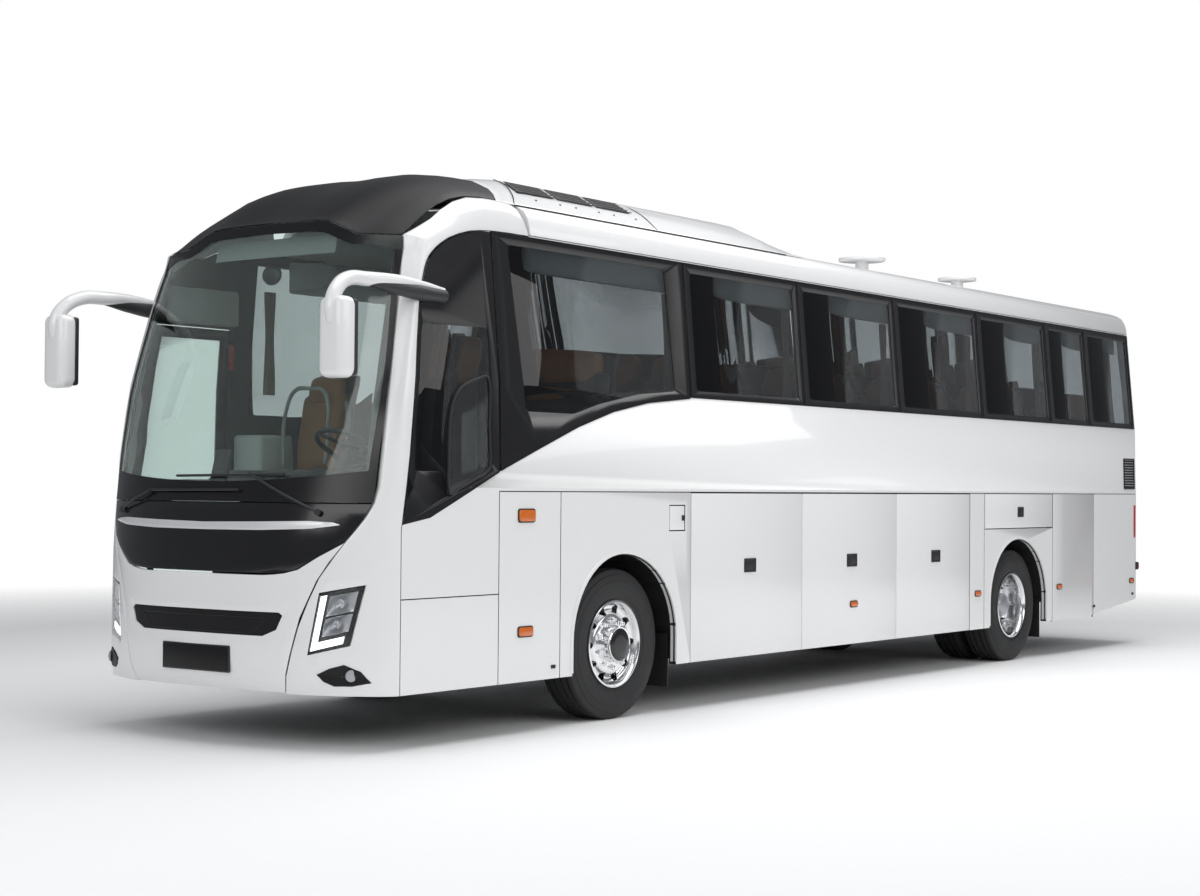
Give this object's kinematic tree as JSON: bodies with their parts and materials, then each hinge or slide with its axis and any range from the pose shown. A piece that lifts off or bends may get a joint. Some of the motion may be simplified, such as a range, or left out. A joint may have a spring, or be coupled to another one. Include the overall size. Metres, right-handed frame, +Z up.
{
  "type": "touring coach bus",
  "caption": "Full-size touring coach with steered front wheels, twin rear wheels, swing-out passenger doors, lifting luggage bay doors and hooked mirrors.",
  "frame": {"origin": "on the ground below the middle of the overall box, mirrors included", "axes": "+X forward, +Y to the coach's left, +Z up"},
  "size_m": [12.45, 2.696, 3.8],
  "materials": {
    "white_paint": "gloss",
    "black_paint": "satin",
    "tinted_glass": "gloss",
    "screen_glass": "gloss",
    "tyre": "matte",
    "alloy": "polished",
    "lamp_clear": "gloss",
    "lamp_red": "gloss",
    "lamp_amber": "gloss",
    "dark_plastic": "matte",
    "seat_fabric": "woven",
    "curtain_fabric": "woven",
    "rack_plastic": "matte",
    "chassis_steel": "matte",
    "rubber": "matte"
  },
  "bodies": {
    "coach_body": {"underframe": "chassis_steel", "side_wall_left": "white_paint", "side_wall_right": "white_paint", "roof_shell": "white_paint", "roof_pod": "white_paint", "roof_aerials": "white_paint", "front_dome": "black_paint", "front_corners": "white_paint", "front_bumper": "white_paint", "front_panel": "black_paint", "windscreen": "screen_glass", "body_glass": "tinted_glass", "rear_wall": "white_paint", "headlamps": "lamp_clear", "rear_lamps": "lamp_red", "side_lamps": "lamp_amber", "mirrors": "white_paint", "wipers": "dark_plastic", "dashboard": "dark_plastic", "crew_seats": "seat_fabric", "passenger_seats": "seat_fabric", "racks": "rack_plastic", "curtains": "curtain_fabric", "engine": "chassis_steel", "front_axle": "chassis_steel", "rear_axle": "chassis_steel", "mudflaps": "rubber", "wheel_housings": "rubber"},
    "knuckle_left": {"knuckle_left": "chassis_steel"},
    "knuckle_right": {"knuckle_right": "chassis_steel"},
    "wheel_front_left": {"tyre_front_left": "tyre", "rim_front_left": "alloy"},
    "wheel_front_right": {"tyre_front_right": "tyre", "rim_front_right": "alloy"},
    "wheel_rear_left": {"tyre_rear_left": "tyre", "rim_rear_left": "alloy"},
    "wheel_rear_right": {"tyre_rear_right": "tyre", "rim_rear_right": "alloy"},
    "steering_wheel": {"steering_wheel": "dark_plastic"},
    "bay_door_left_1": {"bay_door_left_1": "white_paint"},
    "bay_door_left_2": {"bay_door_left_2": "white_paint"},
    "bay_door_left_3": {"bay_door_left_3": "white_paint"},
    "bay_door_right_1": {"bay_door_right_1": "white_paint"},
    "bay_door_right_2": {"bay_door_right_2": "white_paint"},
    "locker_flap": {"locker_flap": "white_paint"},
    "fuel_flap": {"fuel_flap": "white_paint"},
    "engine_lid": {"engine_lid": "white_paint"},
    "front_door_arm": {"front_door_arm": "chassis_steel"},
    "mid_door_arm": {"mid_door_arm": "chassis_steel"},
    "front_door": {"front_door": "black_paint", "front_door_glass": "screen_glass"},
    "mid_door": {"mid_door": "black_paint", "mid_door_glass": "tinted_glass"}
  },
  "joints": [
    {"name": "steer_left", "type": "hinge", "parent": "coach_body", "child": "knuckle_left", "pos_m": [3.28, 0.85, 0.523], "axis": [0, 0, 1], "range_deg": [-38, 38]},
    {"name": "steer_right", "type": "hinge", "parent": "coach_body", "child": "knuckle_right", "pos_m": [3.28, -0.85, 0.523], "axis": [0, 0, 1], "range_deg": [-38, 38]},
    {"name": "steering_wheel_turn", "type": "hinge", "parent": "coach_body", "child": "steering_wheel", "pos_m": [5.265, 0.56, 1.85], "axis": [-0.4695, 0, 0.8829], "range_deg": [-684, 684]},
    {"name": "wheel_front_left_spin", "type": "hinge", "parent": "knuckle_left", "child": "wheel_front_left", "pos_m": [3.28, 1.072, 0.523], "axis": [0, 1, 0], "continuous": true},
    {"name": "wheel_front_right_spin", "type": "hinge", "parent": "knuckle_right", "child": "wheel_front_right", "pos_m": [3.28, -1.072, 0.523], "axis": [0, 1, 0], "continuous": true},
    {"name": "wheel_rear_left_spin", "type": "hinge", "parent": "coach_body", "child": "wheel_rear_left", "pos_m": [-3.086, 1.072, 0.523], "axis": [0, 1, 0], "continuous": true},
    {"name": "wheel_rear_right_spin", "type": "hinge", "parent": "coach_body", "child": "wheel_rear_right", "pos_m": [-3.086, -1.072, 0.523], "axis": [0, 1, 0], "continuous": true},
    {"name": "bay_door_left_1_lift", "type": "hinge", "parent": "coach_body", "child": "bay_door_left_1", "pos_m": [1.6525, 1.275, 1.572], "axis": [1, 0, 0], "range_deg": [0, 100]},
    {"name": "bay_door_left_2_lift", "type": "hinge", "parent": "coach_body", "child": "bay_door_left_2", "pos_m": [0.0915, 1.275, 1.572], "axis": [1, 0, 0], "range_deg": [0, 100]},
    {"name": "bay_door_left_3_lift", "type": "hinge", "parent": "coach_body", "child": "bay_door_left_3", "pos_m": [-1.378, 1.275, 1.572], "axis": [1, 0, 0], "range_deg": [0, 100]},
    {"name": "bay_door_right_1_lift", "type": "hinge", "parent": "coach_body", "child": "bay_door_right_1", "pos_m": [1.6525, -1.275, 1.572], "axis": [-1, 0, 0], "range_deg": [0, 100]},
    {"name": "bay_door_right_2_lift", "type": "hinge", "parent": "coach_body", "child": "bay_door_right_2", "pos_m": [0.0915, -1.275, 1.572], "axis": [-1, 0, 0], "range_deg": [0, 100]},
    {"name": "locker_flap_lift", "type": "hinge", "parent": "coach_body", "child": "locker_flap", "pos_m": [-3.117, 1.275, 1.575], "axis": [1, 0, 0], "range_deg": [0, 100]},
    {"name": "fuel_flap_open", "type": "hinge", "parent": "coach_body", "child": "fuel_flap", "pos_m": [2.711, 1.275, 1.392], "axis": [0, 0, -1], "range_deg": [0, 100]},
    {"name": "engine_lid_lift", "type": "hinge", "parent": "coach_body", "child": "engine_lid", "pos_m": [-6.227, 0, 1.502], "axis": [0, 1, 0], "range_deg": [0, 95]},
    {"name": "front_door_swing", "type": "hinge", "parent": "coach_body", "child": "front_door_arm", "pos_m": [5.415, -1.145, 0.9], "axis": [0, 0, 1], "range_deg": [0, 112]},
    {"name": "front_door_turn", "type": "hinge", "parent": "front_door_arm", "child": "front_door", "pos_m": [4.915, -1.145, 0.9], "axis": [0, 0, 1], "range_deg": [-112, 0]},
    {"name": "mid_door_swing", "type": "hinge", "parent": "coach_body", "child": "mid_door_arm", "pos_m": [-1.891, -1.145, 0.9], "axis": [0, 0, -1], "range_deg": [0, 112]},
    {"name": "mid_door_turn", "type": "hinge", "parent": "mid_door_arm", "child": "mid_door", "pos_m": [-1.391, -1.145, 0.9], "axis": [0, 0, -1], "range_deg": [-112, 0]}
  ],
  "couplings": [
    {"joint": "steer_right", "follows": "steer_left", "ratio": 1},
    {"joint": "steering_wheel_turn", "follows": "steer_left", "ratio": 18},
    {"joint": "front_door_turn", "follows": "front_door_swing", "ratio": -1},
    {"joint": "mid_door_turn", "follows": "mid_door_swing", "ratio": -1}
  ]
}
